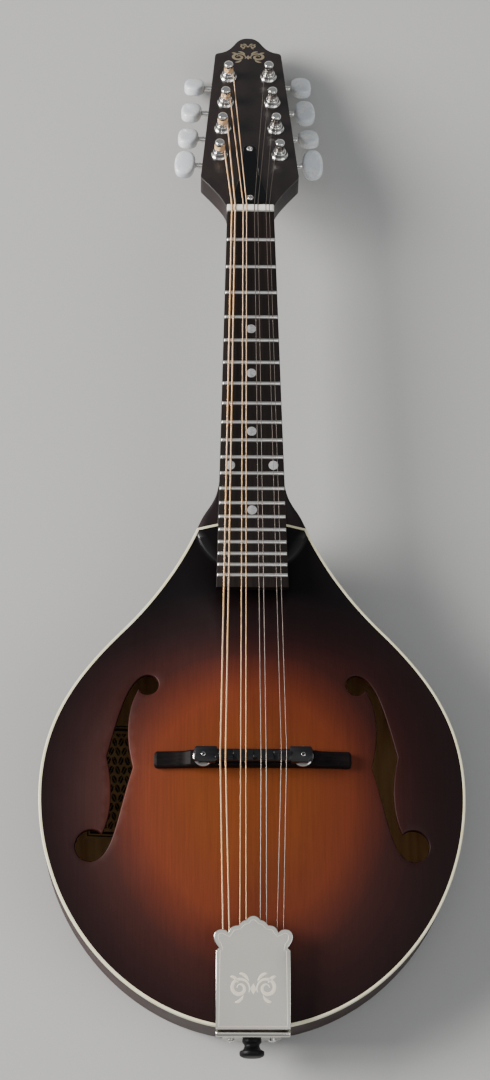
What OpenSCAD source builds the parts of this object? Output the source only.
// Eight-string carved-top mandolin with f-holes, a moveable bridge and geared tuners.
// Working frame: X across (treble side +X), Y along the neck towards the head, Z out of
// the top. Y = 0 is the saddle line and Z = 0 the rim plane until placed() moves the
// whole instrument so that its origin is the bottom centre of its box.

/* [Scale and neck] */
// String length from the nut to the saddle
scale_length = 352.4; // [351:0.1:354]
// Width of the neck at the nut
nut_width = 29; // [28.6:0.1:29.4]
// Width of the fingerboard at its body end
board_end_width = 42.6; // [42:0.1:43]
// Thickness of the fingerboard
board_thickness = 5; // [4.8:0.1:5.2]
// Number of frets
fret_count = 20; // [15:1:20]
// Slope of the neck down from the rim plane, in degrees
neck_slope = 5.5; // [5.3:0.1:5.7]
// Height of the fingerboard plane over the rim, carried on to the bridge
board_rise = 24.5; // [24.2:0.1:24.8]
// Depth of the neck behind the fingerboard at the nut
neck_depth = 15; // [14.5:0.5:16]

/* [Headstock and tuners] */
// Backward tilt of the headstock from the neck, in degrees
head_tilt = 15; // [14:0.5:16]
// Thickness of the headstock with its overlay
head_thickness = 15; // [14.5:0.1:15.5]
// Thickness of the black overlay
overlay_thickness = 1.5; // [1:0.1:2]
// Distance from one post to the next along the headstock
post_pitch = 23.1; // [22.9:0.1:23.3]
// Half the distance between the two posts nearest the nut
post_half_span = 18.8; // [18.6:0.1:19]
// How much nearer the centre line each next post stands
post_step_in = 2; // [1.8:0.1:2.2]
// Teeth on each post gear
gear_teeth = 18; // [16:1:18]

/* [Body] */
// Greatest half width, over the binding
body_half = 124; // [122:0.5:126]
// Distance of the tail end below the saddle line
tail_reach = 154; // [153:0.5:155]
// Depth of the ribs between the two plates
rib_depth = 36; // [34:0.5:38]
// Thickness of both carved plates
plate_thickness = 4; // [3.8:0.1:4.4]
// Rise of the carved top over the rim
top_arch = 13; // [12:0.2:13.2]
// Fall of the carved back under the rim
back_arch = 12; // [10:0.5:13]
// Thickness of the cream binding
binding_thickness = 1.5; // [1.4:0.1:1.8]

/* [Bridge and tailpiece] */
// Height of the string line over the rim at the saddle
string_height = 28.2; // [28:0.1:28.5]
// Length of the bridge base
bridge_length = 114; // [110:1:116]
// Distance between the two adjusting posts
stud_span = 57.4; // [57:0.1:58]
// Width of the tailpiece cover
cover_width = 42.4; // [42:0.1:43]
// Upward slope of the tailpiece towards the bridge, in degrees
tail_slope = 8.5; // [8:0.1:9]

/* [Strings] */
// Gap between the two strings of a course at the nut
course_gap_nut = 2.1; // [2:0.1:2.2]
// Gap between the two strings of a course at the saddle
course_gap_bridge = 3; // [2.8:0.1:3.1]
// Gap between the two strings of a course at the tailpiece
course_gap_tail = 3.7; // [3.4:0.1:3.8]

/* [Hidden] */

$fn = 32;
glue = 0.05;                // gap left between parts that only touch

// --- Small helpers -----------------------------------------------------------------

// Points of a cubic curve through p[0] and p[3], without its last point
function curve(p, n) = [
    for (i = [0:n - 1]) let (t = i / n, s = 1 - t)
        s * s * s * p[0] + 3 * s * s * t * p[1] + 3 * s * t * t * p[2] + t * t * t * p[3]
];
function mirrored(half) = [for (i = [len(half) - 1:-1:0]) [-half[i].x, half[i].y]];
function clamped(v) = max(0, min(1, v));
function eased(v) = let (c = clamped(v)) c * c * (3 - 2 * c);
function unit(v) = v / norm(v);
// A closed counter-clockwise outline moved inwards by d
function inset(pts, d) = let (n = len(pts)) [
    for (i = [0:n - 1])
        let (along = unit(pts[(i + 1) % n] - pts[(i + n - 1) % n]))
            pts[i] + d * [-along.y, along.x]
];
// Superellipse of half sizes a and b
function superellipse(a, b, power, n) = [
    for (i = [0:n - 1]) let (t = 360 * (i + 0.5) / n, c = cos(t), s = sin(t))
        [a * sign(c) * pow(abs(c), 2 / power), b * sign(s) * pow(abs(s), 2 / power)]
];

// --- Frames of the neck, headstock and tailpiece ------------------------------------

function turned_x(p, a) = [p.x, p.y * cos(a) - p.z * sin(a), p.y * sin(a) + p.z * cos(a)];
nut_y = scale_length * cos(neck_slope);
nut_z = board_rise - scale_length * sin(neck_slope);
head_root = [0, 4.5, -4.5];
tail_root = [0, -tail_reach - 0.5, 3];
function neck_point(p) = [0, nut_y, nut_z] + turned_x(p, -neck_slope);
function head_point(p) = neck_point(head_root + turned_x(p, -head_tilt));
function tail_point(p) = tail_root + turned_x(p, tail_slope);
module in_neck() translate([0, nut_y, nut_z]) rotate([-neck_slope, 0, 0]) children();
module in_head() in_neck() translate(head_root) rotate([-head_tilt, 0, 0]) children();
module in_tail() translate(tail_root) rotate([tail_slope, 0, 0]) children();

// --- Body outline and arching -------------------------------------------------------

arch_centre = [0, -10];
body_half_outline = concat(
    curve([[0, -tail_reach], [68, -tail_reach], [body_half, -92], [body_half, -18]], 12),
    curve([[body_half, -18], [body_half, 26], [103, 54], [76, 81]], 9),
    curve([[76, 81], [60, 97], [44, 118], [32.5, 143.5]], 6),
    curve([[32.5, 143.5], [26, 145], [14, 148.5], [0, 148.5]], 4)
);
body_outline = concat(
    body_half_outline, [[0, 148.5]],
    [for (i = [len(body_half_outline) - 1:-1:1]) [-body_half_outline[i].x, body_half_outline[i].y]]
);
plate_outline = inset(body_outline, binding_thickness);
rib_inside = inset(body_outline, 2.2);

// Share of the arch's height at t, from 1 at the crown to 0 at the edge
function arch_share(t) = (1 + cos(180 * pow(clamped(t), 1.5))) / 2;
// The plates stay flat on a small platform where the neck joins
function off_platform(p) = eased((norm([p.x, p.y - 150]) - 33) / 30);
function arch(t, p) = arch_share(t) * off_platform(p);
// How far out the point q lies on its ray from the crown: 0 at the crown, 1 at the edge
function ray_share(q, pts) = let (d = q - arch_centre, n = len(pts))
    norm(d) < 0.001 ? 0 : 1 / max([
        for (i = [0:n - 1])
            let (a = pts[i] - arch_centre, e = pts[(i + 1) % n] - pts[i], k = cross(d, e),
                 s = k == 0 ? -1 : cross(a, e) / k, u = k == 0 ? -1 : cross(a, d) / k)
                u >= -0.001 && u <= 1.001 ? s : -1
    ]);
function arch_at(q) = arch(ray_share(q, plate_outline), q);

plate_rings = 10;
function skin(pts, z, rise) = concat(
    [[arch_centre.x, arch_centre.y, z + rise]],
    [for (k = [1:plate_rings], p = pts)
        let (t = k / plate_rings, q = arch_centre + t * (p - arch_centre))
            [q.x, q.y, z + rise * arch(t, q)]]
);
// A closed shell between an upper skin and a lower skin of the same outline
module carved_plate(pts, z_up, z_low, rise) {
    n = len(pts);
    low = 1 + plate_rings * n;
    function at(k, i) = 1 + (k - 1) * n + i % n;
    polyhedron(
        points = concat(skin(pts, z_up, rise), skin(pts, z_low, rise)),
        faces = concat(
            [for (i = [0:n - 1]) [0, at(1, i + 1), at(1, i)]],
            [for (i = [0:n - 1]) [low, low + at(1, i), low + at(1, i + 1)]],
            [for (k = [1:plate_rings - 1], i = [0:n - 1], half = [0, 1]) half == 0
                ? [at(k, i), at(k, i + 1), at(k + 1, i + 1)]
                : [at(k, i), at(k + 1, i + 1), at(k + 1, i)]],
            [for (k = [1:plate_rings - 1], i = [0:n - 1], half = [0, 1]) half == 0
                ? [low + at(k, i), low + at(k + 1, i + 1), low + at(k, i + 1)]
                : [low + at(k, i), low + at(k + 1, i), low + at(k + 1, i + 1)]],
            [for (i = [0:n - 1], half = [0, 1]) let (k = plate_rings) half == 0
                ? [at(k, i), at(k, i + 1), low + at(k, i + 1)]
                : [at(k, i), low + at(k, i + 1), low + at(k, i)]]
        )
    );
}
module body_prism(pts, z_low, z_high) translate([0, 0, z_low])
    linear_extrude(z_high - z_low) polygon(pts);

rib_top = -plate_thickness - 1;
rib_low = -plate_thickness - rib_depth;
back_low = rib_low - plate_thickness;

// --- Soundbox -----------------------------------------------------------------------

// Body of the right-hand f-hole between its two eyes
f_hole_body = concat(
    curve([[61, 52.2], [72, 52], [77, 32], [84.6, 3.3]], 8),
    curve([[84.6, 3.3], [81, -12], [80.5, -30], [86.8, -42]], 6),
    curve([[86.8, -42], [90, -46], [94, -50], [93.2, -57.5]], 3),
    curve([[93.2, -57.5], [80, -57], [78.5, -32], [69.3, -3.7]], 8),
    curve([[69.3, -3.7], [74, 14], [73.5, 32], [66, 44]], 7)
);
f_upper_eye = [60.8, 46.2];
f_lower_eye = [93.2, -48.7];
module f_hole() translate([0, 0, -10]) linear_extrude(40) {
    polygon(f_hole_body);
    translate(f_upper_eye) circle(6.1, $fn = 24);
    translate(f_lower_eye) circle(9.2, $fn = 30);
}
module soundboard() color("saddlebrown") difference() {
    carved_plate(plate_outline, 0, -plate_thickness, top_arch);
    f_hole();
    mirror([1, 0, 0]) f_hole();
}
module back_plate() color("sienna")
    carved_plate(body_outline, rib_low, back_low, -back_arch);
module ribs() color("maroon") difference() {
    body_prism(body_outline, rib_low, rib_top);
    body_prism(rib_inside, rib_low - 1, rib_top + 1);
    strap_pin_hole();
    tail_screw_holes();
}
module top_binding() color("ivory") difference() {
    body_prism(body_outline, rib_top, 0);
    body_prism(plate_outline, rib_top - 1, 1);
}
module inner_block(y_low, y_high) intersection() {
    body_prism(inset(body_outline, 2.3), rib_low, -plate_thickness);
    translate([-31, y_low, rib_low]) cube([62, y_high - y_low, rib_depth]);
}
module head_block() color("burlywood") inner_block(116, 147);
module tail_block() color("burlywood") difference() {
    inner_block(-153, -132);
    strap_pin_hole();
    tail_screw_holes();
}
lining_height = 8;
lining_width = 5;
module lining(z_low) difference() {
    body_prism(inset(body_outline, 2.3), z_low, z_low + lining_height);
    body_prism(inset(body_outline, 2.3 + lining_width), z_low - 1, z_low + lining_height + 1);
    translate([-31.5, -160, z_low - 1]) cube([63, 28.5, lining_height + 2]);
    translate([-31.5, 115.5, z_low - 1]) cube([63, 40, lining_height + 2]);
}
module linings() color("burlywood") {
    lining(-plate_thickness - lining_height);
    lining(rib_low);
}
// A brace under the top that follows its arch, at x from y_low to y_high
bar_width = 6;
module tone_bar(x, y_low, y_high) {
    steps = 14;
    gap = 0.35;
    rows = [for (k = [0:steps]) let (
            y = y_low + (y_high - y_low) * k / steps,
            roof = top_arch * min(arch_at([x - bar_width / 2, y]), arch_at([x + bar_width / 2, y]))
                - plate_thickness - gap,
            depth = 3 + 5 * sin(180 * k / steps))
        for (p = [[x - bar_width / 2, y, roof], [x + bar_width / 2, y, roof],
                  [x + bar_width / 2, y, roof - depth], [x - bar_width / 2, y, roof - depth]]) p];
    lofted(rows, 4);
}
// A closed solid through rings of count points each, one after the other
module lofted(points, count) {
    rings = len(points) / count;
    polyhedron(points = points, faces = concat(
        [[for (i = [0:count - 1]) i]],
        [for (k = [0:rings - 2], i = [0:count - 1], half = [0, 1])
            let (a = k * count + i, b = k * count + (i + 1) % count) half == 0
                ? [a, a + count, b + count] : [a, b + count, b]],
        [[for (i = [count - 1:-1:0]) (rings - 1) * count + i]]
    ));
}
module tone_bars() color("wheat") {
    tone_bar(-24, -95, 75);
    tone_bar(24, -95, 75);
}
// The maker's label lies on the curved floor of the soundbox under the bass f-hole
label_low = [-98, -36];
label_high = [-52, 34];
module paper_label() color("tan") {
    steps = 8;
    lift = 0.5;
    paper = 0.3;
    rows = [for (k = [0:steps]) let (
            y = label_low.y + (label_high.y - label_low.y) * k / steps,
            row = [for (i = [0:steps]) let (x = label_low.x + (label_high.x - label_low.x) * i / steps)
                [x, y, rib_low - back_arch * arch_at([x, y]) + lift]])
        for (p = concat([for (i = [steps:-1:0]) row[i] + [0, 0, paper]], row)) p];
    lofted(rows, 2 * (steps + 1));
}

// --- Neck ---------------------------------------------------------------------------

function board_width(back) = nut_width + (board_end_width - nut_width) * back / board_length;
board_length = 249;
function fret_back(n) = scale_length * (1 - pow(2, -n / 12));
// Lower half of a neck section, flat on top
function neck_section(half, deep) = [
    for (i = [0:14]) let (t = 180 + 180 * i / 14)
        [half * sign(cos(t)) * pow(abs(cos(t)), 0.85), deep * -pow(abs(sin(t)), 0.85)]
];
shaft_length = 207;
shaft_start = 4.6;
module neck_shaft() in_neck() translate([0, shaft_start, -board_thickness - glue]) rotate([90, 0, 0])
    linear_extrude(shaft_length, scale = [1.31, 1.15])
        polygon(neck_section(nut_width / 2, neck_depth));
module heel_slice(y, half, z_top, z_low) translate([0, y, z_top]) rotate([90, 0, 0])
    linear_extrude(0.4) polygon(neck_section(half, z_top - z_low));
module heel() {
    hull() {
        heel_slice(143.5, 32.5, -0.4, back_low);
        heel_slice(153, 27.5, 0, -34);
    }
    hull() {
        heel_slice(153, 27.5, 0, -34);
        heel_slice(160, 22.5, 1.5, -24);
    }
    hull() {
        heel_slice(160, 22.5, 1.5, -24);
        heel_slice(172, 18.6, 2, -15);
    }
}
head_half_outline = concat(
    curve([[14.6, 0], [15.2, 6], [22, 15], [30.3, 26]], 6),
    curve([[30.3, 26], [30.8, 27.2], [30.6, 28.6], [30.4, 30]], 3),
    curve([[30.4, 30], [27.5, 64], [24.4, 98], [21.5, 132.5]], 2),
    curve([[21.5, 132.5], [21.3, 135.4], [21.2, 136.4], [18.6, 137]], 4),
    curve([[18.6, 137], [13.5, 138], [11, 141], [8.2, 145.6]], 6),
    curve([[8.2, 145.6], [6, 149.3], [3.2, 150.6], [0, 150.6]], 6)
);
head_outline = concat(head_half_outline, [[0, 150.6]],
    [for (i = [len(head_half_outline) - 1:-1:0]) [-head_half_outline[i].x, head_half_outline[i].y]]);
module head_slab(low, high) translate([0, 0, low]) linear_extrude(high - low)
    polygon(head_outline);
module head_transition() hull() {
    in_neck() translate([0, -12, -board_thickness]) rotate([90, 0, 0]) linear_extrude(0.4)
        polygon(neck_section(nut_width / 2 - 0.2, neck_depth - 0.5));
    in_head() translate([-14, 12, -head_thickness]) cube([28, 0.5, head_thickness - 4]);
}
rod_depth = -12.5;
pocket_low = 10.5;
pocket_high = 23;
module rod_channel() in_neck() translate([0, 30, rod_depth]) rotate([90, 0, 0])
    cylinder(r = 2.6, h = 215);
module rod_pocket(low) translate([-4, pocket_low, low])
    cube([8, pocket_high - pocket_low, 2 - low]);
module neck() color("#3a1c18") difference() {
    union() {
        neck_shaft();
        heel();
        head_transition();
        in_head() head_slab(-head_thickness, -overlay_thickness - glue);
    }
    body_prism(body_outline, -70, 0.05);
    rod_channel();
    in_head() rod_pocket(-10);
    in_head() cover_screw_holes();
    post_holes(4.25);
    plate_screw_holes();
}
// Height of the fingerboard's underside above the rim plane at y
function under_board(y) = board_rise - y * tan(neck_slope)
    - board_thickness / cos(neck_slope) - glue;
support_low = 127;
support_high = 152;
support_width = 37.6;
module fingerboard_support() color("#241312") intersection() {
    translate([-support_width / 2, 0, 0]) rotate([90, 0, 90]) linear_extrude(support_width)
        polygon([
            [support_low, 0.15], [support_high, 0.15],
            [support_high, under_board(support_high)], [support_low, under_board(support_low)]
        ]);
    body_prism(inset(body_outline, 0.3), -1, board_rise);
}
fret_slot = 0.6;
dot_radius = 2.9;
dot_depth = 0.8;
dot_places = [[5, 0], [7, 0], [10, 0], [12, -12.9], [12, 12.9], [15, 0]];
function dot_back(n) = (fret_back(n) + fret_back(n - 1)) / 2;
module fingerboard() color("#1d1312") in_neck() difference() {
    rotate([0, 0, 180]) translate([0, 0, -board_thickness]) linear_extrude(board_thickness)
        polygon([
            [-nut_width / 2, 0], [nut_width / 2, 0],
            [board_end_width / 2, board_length], [-board_end_width / 2, board_length]
        ]);
    for (n = [1:fret_count])
        translate([-30, -fret_back(n) - fret_slot / 2, -2]) cube([60, fret_slot, 3]);
    for (d = dot_places) translate([d[1], -dot_back(d[0]), -dot_depth])
        cylinder(r = dot_radius, h = 2);
}
fret_profile = [[-1.1, 0], [-1.05, 0.45], [-0.7, 0.85], [0, 1.05], [0.7, 0.85], [1.05, 0.45],
    [1.1, 0], [0.28, 0], [0.28, -1.8], [-0.28, -1.8], [-0.28, 0]];
module frets() color("silver") in_neck() for (n = [1:fret_count]) {
    wide = board_width(fret_back(n)) - 0.6;
    translate([-wide / 2, -fret_back(n), 0]) rotate([90, 0, 90]) linear_extrude(wide)
        polygon(fret_profile);
}
module position_dots() color("ghostwhite") in_neck() for (d = dot_places)
    translate([d[1], -dot_back(d[0]), -dot_depth]) cylinder(r = dot_radius, h = dot_depth);
nut_slot_floor = 1.2;
nut_top = 1.7;
module string_nut() color("ivory") in_neck() difference() {
    translate([-nut_width / 2, glue, -board_thickness])
        cube([nut_width, shaft_start - glue, board_thickness + nut_top]);
    for (s = [0:7]) translate([nut_x(s) - string_radius[s] - 0.1, -1, nut_slot_floor])
        cube([2 * string_radius[s] + 0.2, 8, 3]);
}
module headstock_overlay() color("#141212") in_head() difference() {
    head_slab(-overlay_thickness, 0);
    rod_pocket(-10);
    cover_screw_holes();
    for (side = [-1, 1], i = [0:3]) at_post_in_head(side, i)
        translate([0, 0, -5]) cylinder(r = 4.25, h = 10);
    translate([-20, -1, -5]) cube([40, 1.6, 10]);
}

// --- Truss rod ----------------------------------------------------------------------

rod_thread = 1.5;
rod_nut_back = 17.2;        // distance of the adjusting nut in front of the string nut
rod_nut_length = 6;
module truss_rod() color("dimgray") in_neck() {
    translate([0, rod_nut_back - 1, rod_depth]) rotate([90, 0, 0]) cylinder(r = 2.4, h = 195);
    translate([0, rod_nut_back + 5.5, rod_depth]) rotate([90, 0, 0])
        cylinder(r = rod_thread, h = 8);
}
module truss_rod_nut() color("goldenrod") in_neck()
    translate([0, rod_nut_back, rod_depth]) rotate([-90, 0, 0]) difference() {
        cylinder(r = 2.55, h = rod_nut_length, $fn = 6);
        translate([0, 0, -1]) cylinder(r = rod_thread + glue, h = rod_nut_length + 2);
    }
cover_half_outline = concat(
    curve([[0, 3.4], [4, 3.4], [7, 3.4], [9.8, 3.4]], 1),
    curve([[9.8, 3.4], [10.6, 3.6], [10.8, 4.4], [10.6, 6]], 3),
    curve([[10.6, 6], [9.6, 17], [6.2, 22], [5.2, 34]], 8),
    curve([[5.2, 34], [4.6, 42], [4.2, 44], [4.1, 49]], 4),
    curve([[4.1, 49], [4.1, 51.6], [2.4, 52.6], [0, 52.6]], 5)
);
cover_screws = [7, 49];
cover_thickness = 2;
module truss_rod_cover() color("#0c0c0d") in_head() difference() {
    translate([0, 0, glue]) linear_extrude(cover_thickness) polygon(concat(
        cover_half_outline, [[0, 52.6]],
        [for (i = [len(cover_half_outline) - 1:-1:1])
            [-cover_half_outline[i].x, cover_half_outline[i].y]]));
    cover_screw_holes();
}
module cover_screw_holes() for (y = cover_screws) translate([0, y, -4.5])
    cylinder(r = 0.9, h = 10);
module round_screw(radius, head_radius, under) rotate_extrude($fn = 24) polygon([
    [0, -under], [radius, -under], [radius, 0], [head_radius, 0], [head_radius * 0.92, 0.5],
    [head_radius * 0.6, 1], [head_radius * 0.25, 1.15], [0, 1.15]
]);
module truss_cover_screws() color("silver") in_head() for (y = cover_screws)
    translate([0, y, cover_thickness + 2 * glue]) round_screw(0.85, 2.1, 5);

// --- Tuning machines ----------------------------------------------------------------
// Each machine stands in its own frame: x outwards or inwards across the plate, y along
// the row of posts towards the tip, z out of the headstock's face.

row_angle = atan(post_step_in / post_pitch);
row_pitch = norm([post_step_in, post_pitch]);
post_first = 45.6;
plate_metal = 1.2;
worm_pitch = 2;
tooth_height = 0.55;
gear_radius = gear_teeth * worm_pitch / 360 * 180 / PI;
worm_radius = 2.4;
worm_offset = worm_radius + gear_radius + 0.2;
gear_top = -head_thickness - plate_metal - 1.6;
gear_thickness = 3.4;
worm_level = gear_top - gear_thickness / 2;
shaft_radius = 1.5;
shaft_in_button = 8.2;
sleeve_from = 5.15;
sleeve_radius = 2.05;
button_from = 16;
button_length = 13;
button_reach = 9.6;
button_thick = 7;
// How far each button is turned from lying flat with the headstock, from the nut up
button_turn = [[4, -18, -19, -25], [37, -22, -1, -15]];

module at_post_in_head(side, i) translate([
    side * (post_half_span - i * post_step_in), post_first + i * post_pitch, 0
]) rotate([0, 0, side * row_angle]) children();
module at_post(side, i) in_head() at_post_in_head(side, i) children();
module along_x() rotate([90, 0, 90]) children();
module post_holes(radius) for (side = [-1, 1], i = [0:3]) at_post(side, i)
    translate([0, 0, -30]) cylinder(r = radius, h = 40);

module post_bushings() color("gainsboro") for (side = [-1, 1], i = [0:3]) at_post(side, i)
    rotate_extrude() polygon([
        [3.07, 0.1 - head_thickness], [4.2, 0.1 - head_thickness], [4.2, glue], [5.4, glue],
        [5.4, 0.8], [4.9, 1.7], [4.1, 3.5], [3.6, 4.2], [3.07, 4.2]
    ]);
plate_screw_places = [for (i = [-1:3]) (i + 0.62) * row_pitch];
module plate_screw_holes() for (side = [-1, 1], y = plate_screw_places) at_post(side, 0)
    translate([0, y, -head_thickness - 1]) cylinder(r = 0.85, h = 9, $fn = 16);
module tuner_plate(side) color("gainsboro") at_post(side, 0) {
    low = -head_thickness - plate_metal;
    difference() {
        translate([-5.6, -13, low]) cube([11.2, 3 * row_pitch + 32, plate_metal - glue]);
        for (i = [0:3]) translate([0, i * row_pitch, low - 1]) cylinder(r = 3.08, h = 5);
        for (y = plate_screw_places) translate([0, y, low - 1])
            cylinder(r = 0.9, h = 5, $fn = 16);
    }
    for (i = [0:3], end = [-1, 1]) translate([end * 4.4, i * row_pitch + worm_offset, 0])
        bearing_lug(low);
}
module bearing_lug(top) difference() {
    union() {
        translate([-0.6, -2.6, worm_level]) cube([1.2, 5.2, top - worm_level + 0.2]);
        translate([-0.6, 0, worm_level]) along_x() cylinder(r = 2.6, h = 1.2);
    }
    translate([-2, 0, worm_level]) along_x() cylinder(r = 1.56, h = 4);
}
module tuner_plate_screws() color("silver") for (side = [-1, 1], y = plate_screw_places)
    at_post(side, 0) translate([0, y, -head_thickness - plate_metal - glue])
        rotate([180, 0, 0]) round_screw(0.8, 1.9, 7);

// The worm's section is a circle set off its axis, so its twist gives a rounded thread
thread_half = 2.4;
module worm(side, i) color("silver") at_post(side, i)
    translate([0, worm_offset, worm_level]) {
        along_x() translate([0, 0, -thread_half])
            linear_extrude(2 * thread_half, twist = -360 * 2 * thread_half / worm_pitch,
                slices = 24, segments = 10)
                rotate([0, 0, -360 * thread_half / worm_pitch])
                    translate([tooth_height, 0]) circle(worm_radius, $fn = 10);
        mirror([side < 0 ? 1 : 0, 0, 0]) {
            translate([-5.3, 0, 0]) along_x() cylinder(r = shaft_radius, h = 3.1);
            translate([2.2, 0, 0]) along_x()
                cylinder(r = shaft_radius, h = button_from + shaft_in_button - 2.2);
            translate([sleeve_from, 0, 0]) along_x()
                cylinder(r = sleeve_radius, h = button_from - sleeve_from - glue);
        }
    }
module button(side, i) color("whitesmoke") at_post(side, i)
    translate([0, worm_offset, worm_level])
        rotate([button_turn[side < 0 ? 0 : 1][i], 0, 0]) difference() {
            translate([side * (button_from + button_length / 2), 0, -button_thick / 2])
                linear_extrude(button_thick)
                    polygon(superellipse(button_length / 2, button_reach, 2.5, 28));
            translate([side * (button_from - 1), 0, 0]) rotate([0, side * 90, 0])
                cylinder(r = shaft_radius + glue, h = shaft_in_button + 1.2);
        }
post_waist = 2.3;
post_top = 12.6;
module post_and_gear(side, i) color("silver") at_post(side, i) {
    rotate_extrude() polygon([
        [1, gear_top - gear_thickness + 0.1], [1.9, gear_top - gear_thickness + 0.1],
        [1.9, gear_top + glue], [3, gear_top + glue], [3, 4.6], [post_waist, 5],
        [post_waist, 9.4], [3, 9.8], [3, 11.5], [2.5, 12.3], [1, post_top], [0, post_top],
        [0, gear_top - gear_thickness + 6], [1, gear_top - gear_thickness + 6]
    ]);
    translate([0, 0, gear_top - gear_thickness]) difference() {
        linear_extrude(gear_thickness) polygon([
            for (k = [0:gear_teeth * 6 - 1]) let (a = 90 + 360 * k / (gear_teeth * 6),
                r = gear_radius + tooth_height * cos(gear_teeth * (a - 90)))
                [r * cos(a), r * sin(a)]
        ]);
        translate([0, 0, -1]) cylinder(r = 1.95, h = gear_thickness + 2);
    }
    translate([0, 0, gear_top - gear_thickness - glue]) rotate([180, 0, 0])
        round_screw(0.9, 2.7, 5);
}

// --- Bridge -------------------------------------------------------------------------

base_top = 19.6;
wheel_low = base_top + 0.1;
wheel_thick = 2.2;
saddle_low = wheel_low + wheel_thick + 0.1;
wheel_radius = 6;
stud_radius = 1.45;
stud_foot = 14.5;
stud_length = 12.7;
thread_gap = 0.25;          // how far each wheel's bore clears the stud's thread
base_half = bridge_length / 2;
foot_clearance = 0.45;
function crown_under(x) = top_arch * arch_share(x / 121.5) + foot_clearance;
base_profile = concat(
    [for (x = [-base_half:bridge_length / 16:base_half]) [x, crown_under(abs(x))]],
    [[base_half, 13.6], [base_half - 2, 15.2], [44, 15.8], [39, 17], [36.5, base_top],
     [-36.5, base_top], [-39, 17], [-44, 15.8], [2 - base_half, 15.2], [-base_half, 13.6]]
);
module bridge_base() color("#15100f") difference() {
    translate([0, 4.3, 0]) rotate([90, 0, 0]) linear_extrude(9.6) polygon(base_profile);
    for (side = [-1, 1]) translate([side * stud_span / 2, 0, stud_foot])
        cylinder(r = stud_radius, h = stud_length);
}
module bridge_studs() color("silver") for (side = [-1, 1])
    translate([side * stud_span / 2, 0, stud_foot])
        cylinder(r = stud_radius, h = stud_length);
// The saddle's crest steps back and forth so that each course plays in tune
saddle_half = 34.3;
block_inner = 20;
crest_steps = [[-22, -11.7, -1.9], [-11.7, 0, 0.2], [0, 11.7, -1.4], [11.7, 22, 0.8]];
crest_thick = 3;
saddle_shoulder = string_height - 2.8;
module bridge_saddle() color("#15100f") difference() {
    union() {
        translate([-saddle_half, -3.6, saddle_low])
            cube([2 * saddle_half, 7.2, saddle_shoulder - saddle_low]);
        for (side = [-1, 1]) translate([side * (saddle_half + block_inner) / 2, -0.3, saddle_low])
            translate([-(saddle_half - block_inner) / 2, -4.6, 0])
                cube([saddle_half - block_inner, 9.2, string_height - 1 - saddle_low]);
        for (s = crest_steps) translate([s[0], s[2] - crest_thick / 2, saddle_low])
            cube([s[1] - s[0], crest_thick, string_height - 0.25 - saddle_low]);
    }
    for (side = [-1, 1]) translate([side * stud_span / 2, 0, saddle_low - 1])
        cylinder(r = stud_radius + 0.15, h = stud_length);
}
module thumbwheel(side) color("silver") translate([side * stud_span / 2, 0, wheel_low])
    difference() {
        cylinder(r = wheel_radius, h = wheel_thick, $fn = 48);
        translate([0, 0, -1]) cylinder(r = stud_radius + thread_gap, h = wheel_thick + 2);
    }

// --- Tailpiece and strap button -----------------------------------------------------

hook_at = 33;
hook_level = 3.2;
hook_radius = 0.6;
tail_inner = cover_width / 2 - 1.4;
flange_face = -tail_reach - 2;
flange_foot = -33;
strap_level = -plate_thickness - rib_depth / 2;
strap_shank = 4;
strap_reach = 10.95;
tail_screw_places = [[-14.3, -3.5], [14.3, -3.5], [-12, -29.5], [12, -29.5]];
module strap_pin_hole() translate([0, -120, strap_level]) rotate([90, 0, 0])
    cylinder(r = strap_shank + glue, h = 60);
module tail_screw_holes() for (p = tail_screw_places) if (p[1] < rib_top)
    translate([p[0], -142, p[1]]) rotate([90, 0, 0]) cylinder(r = 1.05, h = 20, $fn = 16);
module tailpiece_base() color("silver") {
    difference() {
        in_tail() union() {
            translate([-tail_inner + 0.3, -1, 0]) cube([2 * tail_inner - 0.6, 41, 1.5]);
            translate([-cover_width / 2, -2, 1.6]) rotate([0, 90, 0])
                cylinder(r = 2.1, h = cover_width);
        }
        translate([-40, -tail_reach - 0.05, -60]) cube([80, 30, 60.05]);
    }
    difference() {
        translate([-17, flange_face, flange_foot]) cube([34, 1.9, 3 - flange_foot]);
        translate([0, -100, strap_level]) rotate([90, 0, 0])
            cylinder(r = strap_shank + 0.2, h = 90);
        for (p = tail_screw_places) translate([p[0], -100, p[1]]) rotate([90, 0, 0])
            cylinder(r = 1.2, h = 90, $fn = 16);
    }
    in_tail() for (s = [0:7]) translate([tail_x(s), hook_at, 1.4])
        cylinder(r = hook_radius, h = 3.6);
}
// The cover's front edge is a row of lobes rising to the middle
cover_half_top = concat(
    [[cover_width / 2, 0], [cover_width / 2, 44.6], [19.4, 46]],
    curve([[19.4, 46], [21.6, 48.4], [22.4, 50], [22.4, 52.4]], 4),
    curve([[22.4, 52.4], [22.4, 57.2], [16, 57.8], [14.2, 54.6]], 6),
    curve([[14.2, 54.6], [13.4, 57.6], [11.6, 58.8], [8.4, 58.8]], 4),
    curve([[8.4, 58.8], [7.2, 60.8], [5.4, 61.8], [4, 61.8]], 3),
    curve([[4, 61.8], [2.8, 63.6], [1.2, 64.2], [0, 64.2]], 3)
);
cover_low = 0.6;
cover_high = 6.9;
cover_metal = 1.1;
module tailpiece_cover() color("gainsboro") in_tail() {
    translate([0, 0, cover_high - cover_metal]) linear_extrude(cover_metal)
        polygon(concat(cover_half_top, mirrored(cover_half_top)));
    for (side = [-1, 1]) translate([side * (cover_width - cover_metal) / 2, 22.3, cover_low])
        translate([-cover_metal / 2, -21.8, 0])
            cube([cover_metal, 43.6, cover_high - cover_metal - cover_low + 0.1]);
}
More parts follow.
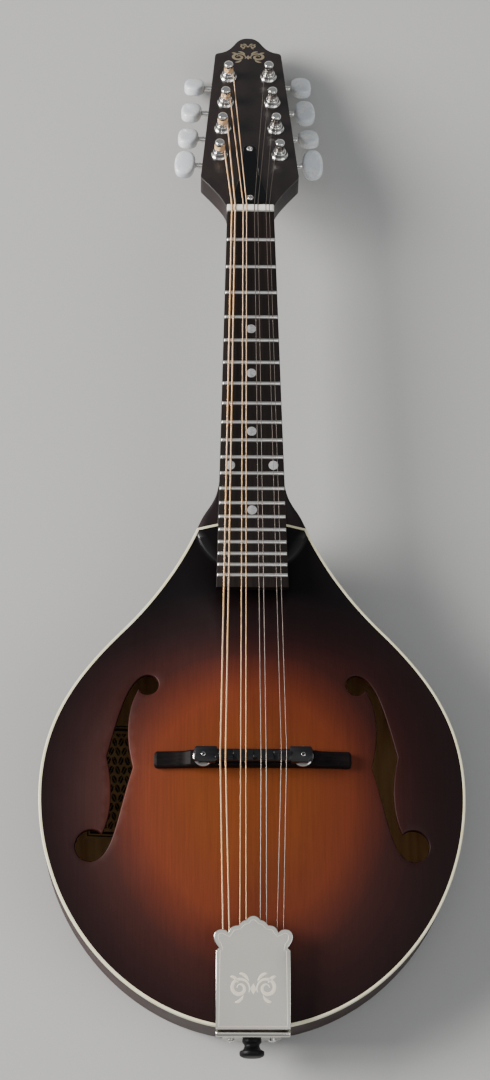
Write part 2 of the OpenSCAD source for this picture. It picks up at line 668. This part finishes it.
module tailpiece_screws() color("silver") for (p = tail_screw_places)
    translate([p[0], flange_face - glue, p[1]]) rotate([90, 0, 0])
        round_screw(0.95, 2.4, p[1] < rib_top ? 12 : 1.8);
module strap_button() color("#0f0e0e") translate([0, flange_face - glue, strap_level])
    rotate([90, 0, 0]) {
        rotate_extrude($fn = 48) polygon([
            [0, -18], [strap_shank - 0.4, -18], [strap_shank, -1], [strap_shank, 0], [5.5, 0],
            [5.5, 2.6], [4.5, 3.4], [4.3, 4.6], [5.2, 6.4], [7.2, 7.4], [7.2, 9.9],
            [5.6, strap_reach], [0, strap_reach]
        ]);
    }

// --- Strings ------------------------------------------------------------------------

string_radius = [0.5, 0.5, 0.33, 0.33, 0.2, 0.2, 0.15, 0.15];
function course_x(s, outer, inner, gap) = let (c = floor(s / 2))
    [-outer, -inner, inner, outer][c] + (s % 2 - 0.5) * gap;
function nut_x(s) = course_x(s, 10.55, 3.5, course_gap_nut);
function bridge_x(s) = course_x(s, 17.5, 5.85, course_gap_bridge);
function tail_x(s) = course_x(s, 15, 5.8, course_gap_tail);
// The outermost string of each side goes to the post nearest the nut
function post_index(s) = s < 4 ? s : 7 - s;
function post_place(s) = let (side = s < 4 ? -1 : 1, i = post_index(s))
    [side * (post_half_span - i * post_step_in), post_first + i * post_pitch];
wraps = 3;
wrap_steps = 12;
wrap_low = 5.4;
// A loop round the tailpiece hook, then over saddle and nut, then round the post
function string_path(s) = let (
        r = string_radius[s], side = s < 4 ? -1 : 1, post = post_place(s),
        reach = post_waist + 0.25 + r, rise = (2 * r + 0.06) / wrap_steps,
        loop = hook_radius + 0.1 + r, step = crest_steps[floor(s / 2)][2])
    concat(
        [for (k = [0:7]) let (a = 250 - 38 * k)
            tail_point([tail_x(s) + loop * cos(a), hook_at + loop * sin(a), hook_level])],
        [tail_point([tail_x(s), hook_at + 6, hook_level + 0.25]),
         [bridge_x(s), step, string_height + r],
         neck_point([nut_x(s), 0.3, nut_slot_floor + r + 0.05]),
         neck_point([nut_x(s), shaft_start + 0.2, nut_slot_floor + r + 0.05])],
        [for (k = [0:wraps * wrap_steps]) let (a = 360 * k / wrap_steps)
            head_point([post.x - side * reach * cos(a), post.y + reach * sin(a),
                wrap_low + r + rise * k])]
    );
function ring_at(path, k, r, sides) = let (
        n = len(path), before = path[max(0, k - 1)], after = path[min(n - 1, k + 1)],
        t = unit(after - before), across = unit(cross(t, [0, 0, 1])), up = cross(across, t))
    [for (i = [0:sides - 1]) let (a = 360 * i / sides)
        path[k] + r * (cos(a) * across + sin(a) * up)];
module tube(path, r, sides) lofted(
    [for (k = [0:len(path) - 1], p = ring_at(path, k, r, sides)) p], sides);
module wound_strings() color("peru") for (s = [0:3]) tube(string_path(s), string_radius[s], 6);
module plain_strings() color("lightgray") for (s = [4:7])
    tube(string_path(s), string_radius[s], 6);

// --- Where the whole instrument stands ----------------------------------------------

// Depth of the lowest corner of any tuner button under the rim plane
function button_corner(side, i, p, z) = let (
        a = button_turn[side < 0 ? 0 : 1][i], b = side * row_angle,
        x = side * (button_from + button_length / 2 + p.x),
        y = worm_offset + p.y * cos(a) - z * sin(a), up = worm_level + p.y * sin(a) + z * cos(a))
    head_point([
        side * (post_half_span - i * post_step_in) + x * cos(b) - y * sin(b),
        post_first + i * post_pitch + x * sin(b) + y * cos(b), up]);
lowest = min([for (side = [-1, 1], i = [0:3], z = [-0.5, 0.5],
        p = superellipse(button_length / 2, button_reach, 2.5, 28))
    button_corner(side, i, p, z * button_thick).z]);
head_end = max([for (p = head_outline) head_point([p.x, p.y, 0]).y]);
tail_end = flange_face - glue - strap_reach;
module placed() translate([0, -(head_end + tail_end) / 2, -lowest]) children();

placed() soundboard();
placed() back_plate();
placed() ribs();
placed() top_binding();
placed() neck();
placed() head_block();
placed() tail_block();
placed() linings();
placed() tone_bars();
placed() paper_label();
placed() fingerboard();
placed() fingerboard_support();
placed() frets();
placed() position_dots();
placed() string_nut();
placed() headstock_overlay();
placed() truss_rod();
placed() truss_rod_nut();
placed() truss_rod_cover();
placed() truss_cover_screws();
placed() post_bushings();
placed() tuner_plate(-1);  // bass_tuner_plate
placed() tuner_plate(1);  // treble_tuner_plate
placed() tuner_plate_screws();
placed() wound_strings();
placed() plain_strings();
placed() tailpiece_base();
placed() tailpiece_cover();
placed() tailpiece_screws();
placed() strap_button();
placed() bridge_base();
placed() bridge_studs();
placed() bridge_saddle();
placed() thumbwheel(-1);  // bass_thumbwheel
placed() thumbwheel(1);  // treble_thumbwheel
placed() worm(-1, 0);  // bass_worm_1
placed() worm(-1, 1);  // bass_worm_2
placed() worm(-1, 2);  // bass_worm_3
placed() worm(-1, 3);  // bass_worm_4
placed() button(-1, 0);  // bass_button_1
placed() button(-1, 1);  // bass_button_2
placed() button(-1, 2);  // bass_button_3
placed() button(-1, 3);  // bass_button_4
placed() post_and_gear(-1, 0);  // bass_post_1
placed() post_and_gear(-1, 1);  // bass_post_2
placed() post_and_gear(-1, 2);  // bass_post_3
placed() post_and_gear(-1, 3);  // bass_post_4
placed() worm(1, 0);  // treble_worm_1
placed() worm(1, 1);  // treble_worm_2
placed() worm(1, 2);  // treble_worm_3
placed() worm(1, 3);  // treble_worm_4
placed() button(1, 0);  // treble_button_1
placed() button(1, 1);  // treble_button_2
placed() button(1, 2);  // treble_button_3
placed() button(1, 3);  // treble_button_4
placed() post_and_gear(1, 0);  // treble_post_1
placed() post_and_gear(1, 1);  // treble_post_2
placed() post_and_gear(1, 2);  // treble_post_3
placed() post_and_gear(1, 3);  // treble_post_4
